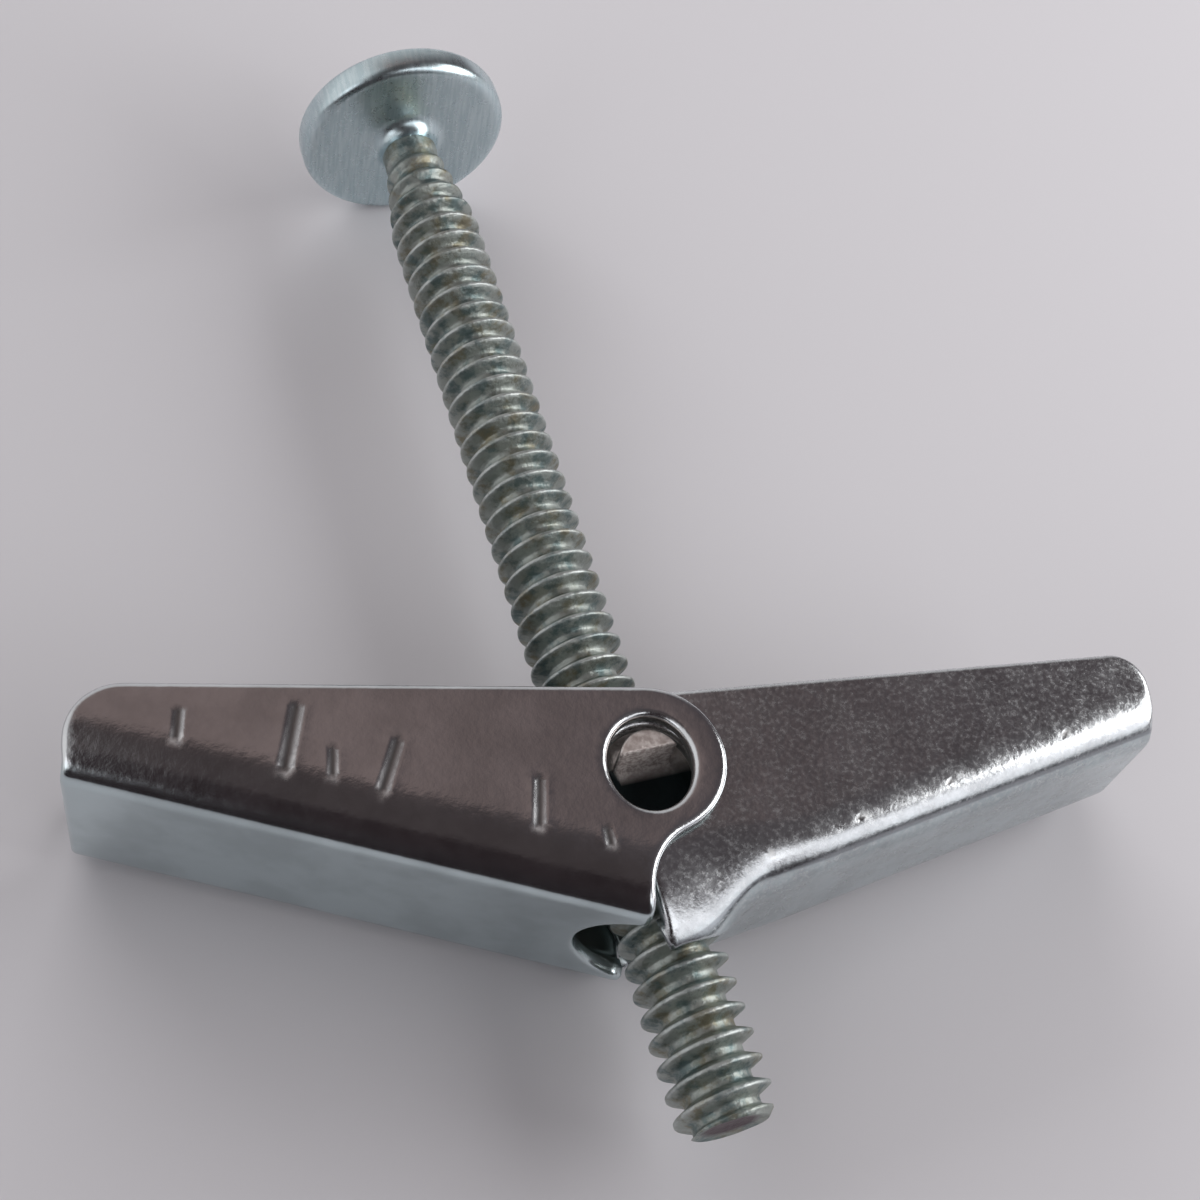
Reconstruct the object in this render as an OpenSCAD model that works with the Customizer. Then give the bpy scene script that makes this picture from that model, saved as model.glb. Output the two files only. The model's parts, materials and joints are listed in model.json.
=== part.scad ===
// Spring toggle bolt: a mushroom head machine screw, a trunnion nut with half round lugs,
// a torsion spring and two channel wings that fold towards the head.
// It lies as it rests on a table: on the rim of its head and on its outer wing.
// Millimetres. +Z up, +Y towards the bolt's head, the wings spread along X.

/* [Bolt] */
// Outside diameter of the thread (1/8 in)
bolt_d = 3.175; // [3.1:0.005:3.2]
// Pitch of the thread (32 turns an inch)
pitch = 0.794; // [0.78:0.002:0.81]
// Depth of the thread
thread_depth = 0.45; // [0.4:0.01:0.48]
// Width of the thread's crests
crest_w = 0.1; // [0.08:0.01:0.14]
// Width of the thread's roots
root_w = 0.2; // [0.16:0.01:0.24]
// Length from the nut's centre to the head's bearing face
head_reach = 27.8; // [27:0.1:32]
// Length from the nut's centre to the bolt's free end
tip_reach = 10.3; // [10.2:0.1:14]
// Bevel on the free end of the thread
tip_bevel = 0.4; // [0.2:0.05:0.5]
// Length over which the thread fades out below the head
fade_l = 4.2; // [3.6:0.1:4.8]
// Length of the plain neck between the faded thread and the head
neck_l = 1; // [0.9:0.05:1.4]
// Radius of the plain neck
neck_r = 1.02; // [0.95:0.01:1.2]
// Radius of the fillet where the neck meets the head
fillet_r = 0.55; // [0.3:0.05:0.8]
// Diameter of the head
head_d = 7.7; // [7.4:0.1:8]
// Height of the head from its bearing face to its crown
head_h = 2.2; // [2:0.1:2.6]
// Rounding between the bearing face and the rim
rim_r = 0.3; // [0.2:0.05:0.4]
// Width of the rim's straight band
rim_band = 0.6; // [0.5:0.05:0.7]
// Width of the driver slot
slot_w = 0.85; // [0.6:0.05:1]
// Depth of the driver slot below the crown
slot_depth = 1; // [0.7:0.05:1.1]
// Length of each arm of the crosswise recess, from the centre
cross_reach = 1.5; // [1.2:0.1:1.8]
// Depth of the crosswise recess below the crown
cross_depth = 0.85; // [0.6:0.05:1]

/* [Nut] */
// Radial clearance round the bolt
thread_gap = 0.03; // [0.02:0.01:0.05]
// Width of the nut across the bolt
nut_w = 4.8; // [4.6:0.1:5]
// Length of the nut along the bolt
nut_l = 4.4; // [4:0.1:4.6]
// Wall of the nut above and below the bolt
nut_wall = 0.73; // [0.7:0.01:0.76]
// Bevel on the nut's four upright corners
nut_bevel = 0.5; // [0.3:0.05:0.6]
// Radius of the half round lugs
lug_r = 1.49; // [1.47:0.01:1.5]
// Distance of each lug's flat side from the pivot's centre, on the head's side
lug_flat = 0.5; // [0.3:0.05:0.6]
// Depth of the upper lug's end below the outer wing's top
lug_sunk = 0.32; // [0.28:0.01:0.35]
// Depth of the lower lug's end above the outer wing's underside
lug_clear = 0.1; // [0.08:0.01:0.15]

/* [Spring] */
// Diameter of the spring wire
wire_d = 0.28; // [0.24:0.01:0.3]
// Distance between the coil's two turns
coil_pitch = 0.22; // [0.2:0.01:0.24]
// Gap inside the coil, round the lug
coil_gap = 0.13; // [0.1:0.01:0.16]
// Free height above and below the coil
coil_play = 0.03; // [0.02:0.01:0.04]
// Gap between each leg's end and the web that it presses on
leg_gap = 0.03; // [0.02:0.01:0.04]

/* [Wings] */
// Thickness of the sheet
sheet = 0.5; // [0.45:0.01:0.55]
// Length from the pivot to the wing's tip
wing_l = 17.1; // [16.5:0.1:17.3]
// Distance from the pivot to the flanges' free edge
free_edge = 2.5; // [2.45:0.05:2.6]
// Radius of the ear round the pivot
ear_r = 2.4; // [2.35:0.05:2.45]
// Distance from the pivot to the web's outer face
web_reach = 4.62; // [4.55:0.01:4.7]
// Angle between the web and the free edge
taper = 14.7; // [14.3:0.1:15]
// Outside radius of the two bends
bend_r = 0.85; // [0.75:0.05:0.95]
// Radial clearance of the ear's hole round the lug
hole_gap = 0.1; // [0.08:0.01:0.12]
// Radius of the hollow fillet below the ear
neck_fillet = 2; // [1.6:0.1:2.1]
// Play between the two wings' ears
ear_play = 0.05; // [0.04:0.01:0.08]
// Play between the nut and the inner wing
nut_play = 0.04; // [0.03:0.01:0.06]
// Corner radius at the outer wing's tip
outer_tip_r = 1.7; // [1.4:0.1:1.8]
// Corner radius at the inner wing's tip
inner_tip_r = 1.1; // [0.9:0.1:1.4]
// Distance from the pivot's line to the outer wing's inner end
outer_end = 0.1; // [0.1:0.01:0.2]
// Distance by which the inner wing's inner end passes the pivot's line
inner_end = 0.45; // [0.38:0.01:0.46]
// Radius of the round notch in each web
notch_r = 2.45; // [2.4:0.01:2.48]
// Distance by which the outer wing's notch lies behind the pivot's line
outer_notch_back = 0.5; // [0.45:0.01:0.55]
// Distance by which the inner wing's notch lies behind the pivot's line
inner_notch_back = 0.1; // [0.05:0.01:0.15]
// Distance of the notch's centre above the bolt's axis
notch_up = 0.15; // [0.12:0.01:0.2]

/* [Pose] */
// Angle by which the outer wing stands towards the head
outer_rest = 13; // [12.7:0.1:13.5]
// Angle by which the inner wing stands away from the head
inner_rest = 7.3; // [7:0.1:7.5]

/* [Hidden] */
$fn = 64;
cut = 1;
slop = 0.01;
turn_angle = 300;
bolt_r = bolt_d / 2;
head_r = head_d / 2;
root_r = bolt_r - thread_depth;
thread_start = tip_bevel - tip_reach;
thread_turns = floor((head_reach - neck_l - thread_start) / pitch);
bore_r = bolt_r + thread_gap;
nut_z = bore_r + nut_wall;
wire_r = wire_d / 2;
coil_r = lug_r + coil_gap + wire_r;
low_turn = nut_z + coil_play + wire_r;
high_turn = low_turn + coil_pitch;

// The sheets, from the nut outwards
inner_top = high_turn + wire_r + coil_play;
inner_low = -nut_z - nut_play;
inner_high_face = inner_top + sheet;
inner_low_face = inner_low - sheet;
outer_high_face = inner_high_face + ear_play + sheet;
outer_low_face = inner_low_face - ear_play - sheet;
hole_r = lug_r + hole_gap;
ear_up = free_edge - ear_r;
bend_in = bend_r - sheet;

// The head: a flat bearing face, a banded rim and a crown that is part of a sphere
flat_r = head_r - rim_r;
band_low = head_reach + rim_r;
band_high = band_low + rim_band;
crown = head_reach + head_h;
dome_h = crown - band_high;
dome_r = (head_r * head_r + dome_h * dome_h) / (2 * dome_h);

// The spring's legs end where they meet the webs' inner faces
web_in = web_reach - sheet - wire_r - leg_gap;
leg_l = (web_in - coil_r * cos(taper)) / sin(taper);

// The part tilts until its head's rim and the outer wing's lowest bend share a plane
fold_reach = web_reach - bend_r;
fold_u = (outer_end - fold_reach * sin(taper)) / cos(taper);
fold_y = fold_u * sin(taper) - fold_reach * cos(taper);
heel_y = outer_end * sin(outer_rest) + fold_y * cos(outer_rest);
rest_a = band_low - heel_y;
rest_b = flat_r + outer_low_face + bend_r;
rest_c = (rim_r - bend_r) / sqrt(rest_a * rest_a + rest_b * rest_b);
tilt = atan2(rest_b, rest_a) + asin(rest_c);
rest_z = flat_r * cos(tilt) + rim_r - band_low * sin(tilt);

// Half way between the two tips, and between the crown and the free end
tip_y = (wing_l * sin(taper) - web_reach) / cos(taper);
reach_left = wing_l * cos(outer_rest) - tip_y * sin(outer_rest);
tip_in = wing_l - inner_tip_r;
tip_up = free_edge - inner_tip_r;
reach_right = tip_in * cos(inner_rest) + tip_up * sin(inner_rest) + inner_tip_r;
mid_x = (reach_right - reach_left) / 2;
mid_y = (crown - tip_reach) * cos(tilt) / 2;

module resting() {
  translate([-mid_x, -mid_y, rest_z])
    rotate([tilt, 0, 0])
      children();
}

// Turns a profile of radius and height about the bolt's axis
module round_bolt() {
  rotate([-90, 0, 0])
    rotate_extrude()
      children();
}

module shank_profile() {
  polygon([
    [0, -tip_reach],
    [bolt_r - tip_bevel, -tip_reach],
    [bolt_r, -tip_reach + tip_bevel],
    [bolt_r, head_reach - fade_l],
    [neck_r, head_reach - neck_l],
    [neck_r, head_reach + slop],
    [0, head_reach + slop]
  ]);
}

// One groove of the thread, as a ring that lies square to the bolt
module groove_profile() {
  half_w = (pitch - crest_w) / 2;
  polygon([
    [bolt_r + slop, half_w],
    [root_r, root_w / 2],
    [root_r, -root_w / 2],
    [bolt_r + slop, -half_w]
  ]);
}

module thread_profile() {
  difference() {
    shank_profile();
    for (turn = [0 : thread_turns - 1])
      translate([0, thread_start + (turn + 0.5) * pitch])
        groove_profile();
  }
}

module neck_profile() {
  difference() {
    translate([0, head_reach - fillet_r])
      square([neck_r + fillet_r, fillet_r + slop]);
    translate([neck_r + fillet_r, head_reach - fillet_r])
      circle(fillet_r);
  }
}

module head_profile() {
  translate([0, head_reach])
    square([flat_r, rim_r + rim_band]);
  translate([0, band_low])
    square([head_r, rim_band]);
  intersection() {
    translate([flat_r, band_low])
      circle(rim_r);
    translate([0, head_reach])
      square([head_r + cut, rim_r]);
  }
  intersection() {
    translate([0, crown - dome_r])
      circle(dome_r);
    translate([0, band_high - slop])
      square([head_r, dome_h + slop]);
  }
}

module bolt() {
  color([0.72, 0.73, 0.7])
    resting()
      difference() {
        round_bolt()
          bolt_profile();
        translate([-head_r - cut, crown - slot_depth, -slot_w / 2])
          cube([head_d + 2 * cut, slot_depth + cut, slot_w]);
        translate([-slot_w / 2, crown - cross_depth, -cross_reach])
          cube([slot_w, cross_depth + cut, 2 * cross_reach]);
      }
}

module bolt_profile() {
  thread_profile();
  neck_profile();
  head_profile();
}

// One lug's end face: a disc cut flat on the side away from the head
module lug_face() {
  intersection() {
    circle(lug_r);
    translate([-lug_r - cut, lug_flat])
      square([2 * lug_r + 2 * cut, lug_r]);
  }
}

module nut_face() {
  nut_x = nut_w / 2;
  nut_y = nut_l / 2;
  polygon([
    [nut_x, nut_y - nut_bevel],
    [nut_x - nut_bevel, nut_y],
    [nut_bevel - nut_x, nut_y],
    [-nut_x, nut_y - nut_bevel],
    [-nut_x, nut_bevel - nut_y],
    [nut_bevel - nut_x, -nut_y],
    [nut_x - nut_bevel, -nut_y],
    [nut_x, nut_bevel - nut_y]
  ]);
}

module trunnion_nut() {
  lug_top = outer_high_face - lug_sunk;
  lug_low = outer_low_face + lug_clear;
  color([0.62, 0.63, 0.6])
    resting() {
      difference() {
        translate([0, 0, -nut_z])
          linear_extrude(2 * nut_z)
            nut_face();
        rotate([90, 0, 0])
          cylinder(h = nut_l + 2 * cut, r = bore_r, center = true);
      }
      translate([0, 0, nut_z - slop])
        linear_extrude(lug_top - nut_z + slop)
          lug_face();
      translate([0, 0, lug_low])
        linear_extrude(-nut_z - lug_low + slop)
          lug_face();
    }
}

// Most of one turn round the upper lug, and the leg that it runs out to along +X
module half_spring(turn_z) {
  translate([0, 0, turn_z])
    rotate_extrude(angle = turn_angle, start = 270 - turn_angle)
      translate([coil_r, 0])
        circle(wire_r);
  translate([0, -coil_r, turn_z])
    rotate([0, 90, 0])
      cylinder(h = leg_l, r = wire_r);
}

module spring() {
  color([0.45, 0.46, 0.47])
    resting() {
      mirror([1, 0, 0])
        rotate([0, 0, outer_rest])
          half_spring(low_turn);
      rotate([0, 0, -inner_rest])
        half_spring(high_turn);
    }
}

// The folded sheet's section: a web with a flange at each end
module channel_section(low, high) {
  depth = web_reach + free_edge + cut;
  difference() {
    rounded_back(depth, low, high, bend_r);
    translate([sheet, 0])
      rounded_back(depth, low + sheet, high - sheet, bend_in);
  }
}

// A long rectangle with round corners at its back
module rounded_back(depth, low, high, r) {
  translate([r, low])
    square([depth, high - low]);
  translate([0, low + r])
    square([depth, high - low - 2 * r]);
  translate([r, low + r])
    circle(r);
  translate([r, high - r])
    circle(r);
}

// A wing seen from above: its flange, its ear and the hollow neck between them
module wing_outline(end, tip_r) {
  neck_x = end - neck_fillet;
  neck_reach = ear_r + neck_fillet;
  neck_y = ear_up - sqrt(neck_reach * neck_reach - neck_x * neck_x);
  foot = -web_reach - 2 * cut;
  translate([0, ear_up])
    circle(ear_r);
  translate([0, ear_up])
    square([wing_l - tip_r, ear_r]);
  translate([end, foot])
    square([wing_l - tip_r - end, free_edge - foot]);
  translate([end, foot])
    square([wing_l - end, free_edge - tip_r - foot]);
  translate([wing_l - tip_r, free_edge - tip_r])
    circle(tip_r);
  difference() {
    polygon([
      [0, ear_up],
      [neck_x, neck_y],
      [end + slop, neck_y],
      [end + slop, ear_up]
    ]);
    translate([neck_x, neck_y])
      circle(neck_fillet);
  }
}

// The notch that the bolt passes, open towards the wing's inner end
module notch_face() {
  circle(notch_r);
  translate([-2 * notch_r, -notch_r])
    square(2 * notch_r);
}

// One wing along +X, its channel open towards +Y
module wing(low, high, end, tip_r, notch_back) {
  reach = wing_l + web_reach;
  difference() {
    intersection() {
      rotate([0, 0, taper])
        translate([-reach, -web_reach, 0])
          rotate([90, 0, 90])
            linear_extrude(2 * reach)
              channel_section(low, high);
      translate([0, 0, low - cut])
        linear_extrude(high - low + 2 * cut)
          wing_outline(end, tip_r);
    }
    cylinder(h = 2 * (high - low) + 2 * cut, r = hole_r, center = true);
    translate([-notch_back, 2 * sheet - web_reach, notch_up])
      rotate([90, 0, 0])
        linear_extrude(web_reach)
          notch_face();
  }
}

module outer_wing() {
  color([0.7, 0.74, 0.74])
    resting()
      mirror([1, 0, 0])
        rotate([0, 0, outer_rest])
          wing(outer_low_face, outer_high_face, outer_end, outer_tip_r, outer_notch_back);
}

module inner_wing() {
  color([0.66, 0.7, 0.71])
    resting()
      rotate([0, 0, -inner_rest])
        wing(inner_low_face, inner_high_face, -inner_end, inner_tip_r, inner_notch_back);
}

bolt();
trunnion_nut();
spring();
outer_wing();
inner_wing();
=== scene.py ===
"""The looks of a spring toggle bolt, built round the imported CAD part.

Lengths are worked out in millimetres in the toggle's own frame: Y runs along the bolt towards
its head, Z along the wings' pivot and X to the inner wing's side, from the pivot's centre.
"""

import json
import math
import random

import bpy
import numpy as np
from mathutils import Matrix, Vector
from mathutils.geometry import delaunay_2d_cdt


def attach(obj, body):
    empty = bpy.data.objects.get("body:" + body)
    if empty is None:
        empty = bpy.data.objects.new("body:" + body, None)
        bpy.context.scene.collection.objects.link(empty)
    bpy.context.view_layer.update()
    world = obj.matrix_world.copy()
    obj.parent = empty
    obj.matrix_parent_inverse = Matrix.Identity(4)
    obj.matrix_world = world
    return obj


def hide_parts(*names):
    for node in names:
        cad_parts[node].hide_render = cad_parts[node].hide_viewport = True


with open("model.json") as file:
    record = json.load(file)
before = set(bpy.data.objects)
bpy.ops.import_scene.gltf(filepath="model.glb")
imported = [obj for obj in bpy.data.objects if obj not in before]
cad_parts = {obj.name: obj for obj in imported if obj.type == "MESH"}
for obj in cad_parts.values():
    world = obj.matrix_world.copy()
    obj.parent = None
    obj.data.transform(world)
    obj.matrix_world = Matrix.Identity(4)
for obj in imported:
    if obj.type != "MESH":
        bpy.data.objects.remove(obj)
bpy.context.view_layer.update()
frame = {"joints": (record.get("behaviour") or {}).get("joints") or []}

MM = 0.001
TURN = 2 * math.pi
TINY = 1e-12

# The bolt, as the CAD part has it; the reaches are counted from the pivot
BOLT_R = 1.5875
PITCH = 0.79375
HEAD_REACH = 27.8
TIP_REACH = 10.3
TIP_BEVEL = 0.4
FADE_L = 4.2
NECK_L = 1.0
NECK_R = 1.02
FILLET_R = 0.55
HEAD_R = 3.85
HEAD_H = 2.2
RIM_BAND = 0.6
SLOT_W = 0.85
SLOT_DEPTH = 1.0
CROSS_REACH = 1.5
CROSS_DEPTH = 0.85

# What the CAD part hasn't: the thread's flanks, the soft edges of the head and the sawn end
ROOT_R = 1.12
CREST_FLAT = 0.10
ROOT_FLAT = 0.24
FLANK_CURVE = 1.08
ROOT_UNDER_NECK = 0.1
NECK_EASE = 0.25
RIM_R = 0.4
CROWN_EDGE = 0.12
TIP_LAND = 0.04
TIP_SLOPE = 0.9
TIP_HOLLOW = ((0.93, 0.03), (0.84, 0.05), (0.6, 0.09), (0.3, 0.13), (0.0, 0.14))

# The nut; its upper lug is worn narrower than the lower one
BORE_R = 1.6175
NUT_W = 4.8
NUT_L = 4.4
NUT_Z = 2.3475
NUT_BEVEL = 0.5
NUT_EDGE = 0.1
BORE_BEVEL = 0.25
LUG_R = 1.49
LUG_FLAT = 0.5
LUG_EDGE = 0.09
LUG_SINK = 0.3
LUG_LOW = -3.3375
LUG_TOP = 3.6
LUG_TOP_R = 1.2
LUG_TOP_SHARE = 0.85
LUG_TOP_X = 0.2

# The spring; each half takes its own turn of the coil, in degrees
WIRE_R = 0.135
WIRE_PLAY = 0.003
WIRE_END = 0.6
HALF_TURN = 300
COIL_R = 1.76
COIL_LOW = 2.487
COIL_HIGH = 2.768
LEG_L = 8.85
LEG_STEP = 0.3
LEG_SLOPE = 0.05

# The wings, from one sheet each, folded into a channel
SHEET = 0.5
WING_L = 17.1
FREE_EDGE = 2.5
EAR_R = 2.4
WEB_REACH = 4.62
TAPER = math.radians(14.7)
BEND_R = 0.85
HOLE_R = 1.59
NECK_FILLET = 2.0
NOTCH_R = 2.45
NOTCH_UP = 0.15
# The sheet's edges: how wide and deep they are rounded outside, by the outline, the upper hole and
# the lower one, and how far inside
EDGE_ROUNDS = ((0.19, 0.14), (0.2, 0.18), (0.12, 0.1))
EDGE_WITHIN = 0.05
# Between these places along the web, a bend goes from its form by the pivot to its form beyond
EASE_FROM = 0.5
EASE_TO = 4.5
# The inner wing's pressed end by the pivot: how far it stands out, runs on and rolls down
TOE_OUT = 1.0
TOE_ALONG = 0.3
TOE_DOWN = 0.8
# A wing's outer faces along the pivot, the end of its web, its tip's rounding, the middle of its
# notch and its angle. ease gives the half-widths of its bends' ellipse on the flange and on the
# web, each far from the pivot and by it; hole gives its upper hole's middle and half-widths.
OUTER = dict(low=-3.4375, high=3.9575, end=0.1, tip_r=1.7, back=0.5, rest=13.0, side=-1,
             ease=((2.2, 2.2), (1.1, 1.1)), hole=(-0.05, 0.0, 1.32, 1.53))
INNER = dict(low=-2.8875, high=3.4075, end=-0.45, tip_r=1.1, back=0.1, rest=-7.3, side=1,
             ease=((1.5, 2.3), (1.4, 1.8)), hole=(0.10, -0.08, 1.42, 1.50))

joints = {j["name"]: j for j in frame["joints"]}
pivot = Vector(joints["outer_wing_fold"]["pos_m"])
bolt_way = Vector(joints["nut_travel"]["axis"]).normalized()
pivot_way = -Vector(joints["outer_wing_fold"]["axis"]).normalized()
side_way = bolt_way.cross(pivot_way)
TOGGLE = Matrix.Translation(pivot) @ Matrix((side_way, bolt_way, pivot_way)).transposed().to_4x4()


# ---------------------------------------------------------------- shader nodes

class Tone:
    """What a node gives out: a number or a colour. Sums and products of numbers add Math nodes."""

    def __init__(self, nodes, socket):
        self.nodes, self.socket = nodes, socket

    def _with(self, operation, first, second):
        return self.nodes.add("ShaderNodeMath", {"operation": operation}, [first, second])

    def __add__(self, other):
        return self._with("ADD", self, other)

    def __radd__(self, other):
        return self._with("ADD", other, self)

    def __sub__(self, other):
        return self._with("SUBTRACT", self, other)

    def __rsub__(self, other):
        return self._with("SUBTRACT", other, self)

    def __mul__(self, other):
        return self._with("MULTIPLY", self, other)

    def __rmul__(self, other):
        return self._with("MULTIPLY", other, self)


class Nodes:
    """A node tree, emptied and filled again."""

    def __init__(self, tree):
        self.tree = tree
        self.tree.nodes.clear()

    def add(self, kind, settings=None, inputs=(), output=0):
        """Adds a node: its settings first, then its sockets' values or links by place or name."""
        made = self.tree.nodes.new(kind)
        for key, value in (settings or {}).items():
            setattr(made, key, value)
        pairs = inputs.items() if isinstance(inputs, dict) else enumerate(inputs)
        for key, value in pairs:
            if isinstance(value, Tone):
                self.tree.links.new(value.socket, made.inputs[key])
            else:
                made.inputs[key].default_value = value
        return Tone(self, made.outputs[output]) if made.outputs else None

    def ramp(self, tone, low, high):
        """Nought below low, one above high and smooth in between."""
        settings = {"interpolation_type": "SMOOTHSTEP", "clamp": True}
        return self.add("ShaderNodeMapRange", settings, [tone, low, high, 0.0, 1.0])

    def mix(self, mask, first, second):
        """A colour that goes from the first to the second with the mask."""
        colours = [c if isinstance(c, Tone) else (*c, 1) for c in (first, second)]
        inputs = {0: mask, 6: colours[0], 7: colours[1]}
        return self.add("ShaderNodeMix", {"data_type": "RGBA"}, inputs, output=2)


class Finish(Nodes):
    """One material and its nodes."""

    def __init__(self, name):
        self.material = bpy.data.materials.new(name)
        self.material.use_nodes = True
        super().__init__(self.material.node_tree)

    def place(self):
        """Where a point lies on its own piece, in millimetres."""
        return self.add("ShaderNodeAttribute", {"attribute_name": "place"}, output=1)

    def mark(self, name):
        """A number kept at each vertex."""
        return self.add("ShaderNodeAttribute", {"attribute_name": name}, output=2)

    def noise(self, where, scale, detail, roughness):
        """Cloudy values about a half; the scale is how many clouds there are to a millimetre."""
        inputs = {"Vector": where, "Scale": scale, "Detail": detail, "Roughness": roughness}
        return self.add("ShaderNodeTexNoise", None, inputs)

    def stretch(self, where, scale):
        """The place stretched along its axes, so that a pattern runs one way."""
        return self.add("ShaderNodeMapping", None, {"Vector": where, "Scale": scale})

    def surface(self, inputs):
        """Ends the material with one shader and its sockets' values or links."""
        shader = self.add("ShaderNodeBsdfPrincipled", None, inputs)
        self.add("ShaderNodeOutputMaterial", None, {"Surface": shader})
        return self.material

    def metal(self, colour, roughness, height, depth, bare=1.0):
        """Metal with a relief of a depth in millimetres; bare is how free it is of crumbs."""
        relief = {"Strength": 1.0, "Distance": depth * MM, "Height": height}
        return self.surface({"Base Color": colour, "Roughness": roughness, "Metallic": bare,
                             "Normal": self.add("ShaderNodeBump", None, relief)})


# ---------------------------------------------------------------- meshes

MITRE_LEAST = 0.35
CROWDED = 0.04
SHARP_TURN = 0.6
CORNER_ROOM = 1.5
CORE_ROOM = 0.09
EDGE_TURNS = np.radians((22, 45, 68, 90))
SLIVER = 1e-4


def frame_of(wing):
    """The matrix of a wing's own frame, whose X runs out to the wing's tip."""
    flip = Matrix.Scale(wing["side"], 4, (1, 0, 0))
    turn = Matrix.Rotation(math.radians(wing["rest"]), 4, "Z")
    return TOGGLE @ flip @ turn


def piece(name, points, faces, matrix, body, nodes, material, marks=None):
    """Makes one named piece from points in millimetres in a frame given by its matrix.

    The marks are numbers at each point, which its material reads.
    """
    points = np.asarray(points, float)
    world = np.array(matrix)
    placed = (points * MM) @ world[:3, :3].T + world[:3, 3]
    if np.linalg.det(world[:3, :3]) < 0:
        faces = [tuple(reversed(f)) for f in faces]
    mesh = bpy.data.meshes.new(name)
    mesh.from_pydata(placed.tolist(), [], [tuple(int(i) for i in f) for f in faces])
    mesh.validate()
    mesh.shade_smooth()
    if len(mesh.vertices) != len(points):
        raise ValueError(name + " lost vertices")
    mesh.attributes.new("place", "FLOAT_VECTOR", "POINT").data.foreach_set(
        "vector", points.astype(np.float32).ravel())
    for mark, values in (marks or {}).items():
        mesh.attributes.new(mark, "FLOAT", "POINT").data.foreach_set(
            "value", np.asarray(values, np.float32))
    mesh.materials.append(material)
    made = bpy.data.objects.new(name, mesh)
    bpy.context.scene.collection.objects.link(made)
    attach(made, body)
    if nodes:
        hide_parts(*nodes)
    return made


def arc(centre, radius, start, end, step=0.2):
    """Points on an arc from one angle to another in degrees, without the last one."""
    count = max(3, int(round(abs(math.radians(end - start)) * radius / step)))
    angles = np.radians(np.linspace(start, end, count, endpoint=False))
    return np.c_[centre[0] + radius * np.cos(angles), centre[1] + radius * np.sin(angles)]


def line(start, end, step=0.24):
    """Evenly spaced points from start to end, without the last one."""
    start, end = np.array(start, float), np.array(end, float)
    count = max(1, int(round(np.linalg.norm(end - start) / step)))
    return start + np.linspace(0, 1, count, endpoint=False)[:, None] * (end - start)


def inside(points, loops):
    """Which points lie inside the first loop and outside the others."""
    odd = np.zeros(len(points), bool)
    for loop in loops:
        for a, b in zip(loop, np.roll(loop, -1, axis=0)):
            crosses = (a[1] > points[:, 1]) != (b[1] > points[:, 1])
            rise = b[1] - a[1] if abs(b[1] - a[1]) > TINY else TINY
            odd ^= crosses & (points[:, 0] < a[0] + (points[:, 1] - a[1]) * (b[0] - a[0]) / rise)
    return odd


def clearance(points, loops):
    """Each point's distance to the nearest stretch of the loops."""
    nearest = np.full(len(points), np.inf)
    for loop in loops:
        for a, b in zip(loop, np.roll(loop, -1, axis=0)):
            way = b - a
            share = np.clip(((points - a) @ way) / max(way @ way, TINY), 0, 1)
            away = np.linalg.norm(points - a - share[:, None] * way, axis=1)
            nearest = np.minimum(nearest, away)
    return nearest


def outward(loop):
    """Mitred outward normals of a loop that runs anticlockwise round the sheet."""
    ahead = np.roll(loop, -1, axis=0) - loop
    ahead /= np.linalg.norm(ahead, axis=1)[:, None]
    normal = np.c_[ahead[:, 1], -ahead[:, 0]]
    both = normal + np.roll(normal, 1, axis=0)
    dot = np.sum(normal * np.roll(normal, 1, axis=0), axis=1)
    return both / np.maximum(1 + dot, MITRE_LEAST)[:, None]


def area(loop):
    """The area inside a loop, below nought where it runs clockwise."""
    after = np.roll(loop, -1, axis=0)
    return np.sum(loop[:, 0] * after[:, 1] - after[:, 0] * loop[:, 1]) / 2


def settle(loop, width):
    """Leaves out points that crowd the one before them, and those that crowd a sharp corner."""
    gap = np.linalg.norm(loop - np.roll(loop, 1, axis=0), axis=1)
    loop = loop[gap > CROWDED]
    ahead = np.roll(loop, -1, axis=0) - loop
    behind = loop - np.roll(loop, 1, axis=0)
    turn = np.arctan2(behind[:, 0] * ahead[:, 1] - behind[:, 1] * ahead[:, 0],
                      (behind * ahead).sum(axis=1))
    sharp = np.abs(turn) > SHARP_TURN
    keep = np.ones(len(loop), bool)
    for corner in loop[sharp]:
        keep &= np.linalg.norm(loop - corner, axis=1) > CORNER_ROOM * width
    return loop[keep | sharp]


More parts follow.
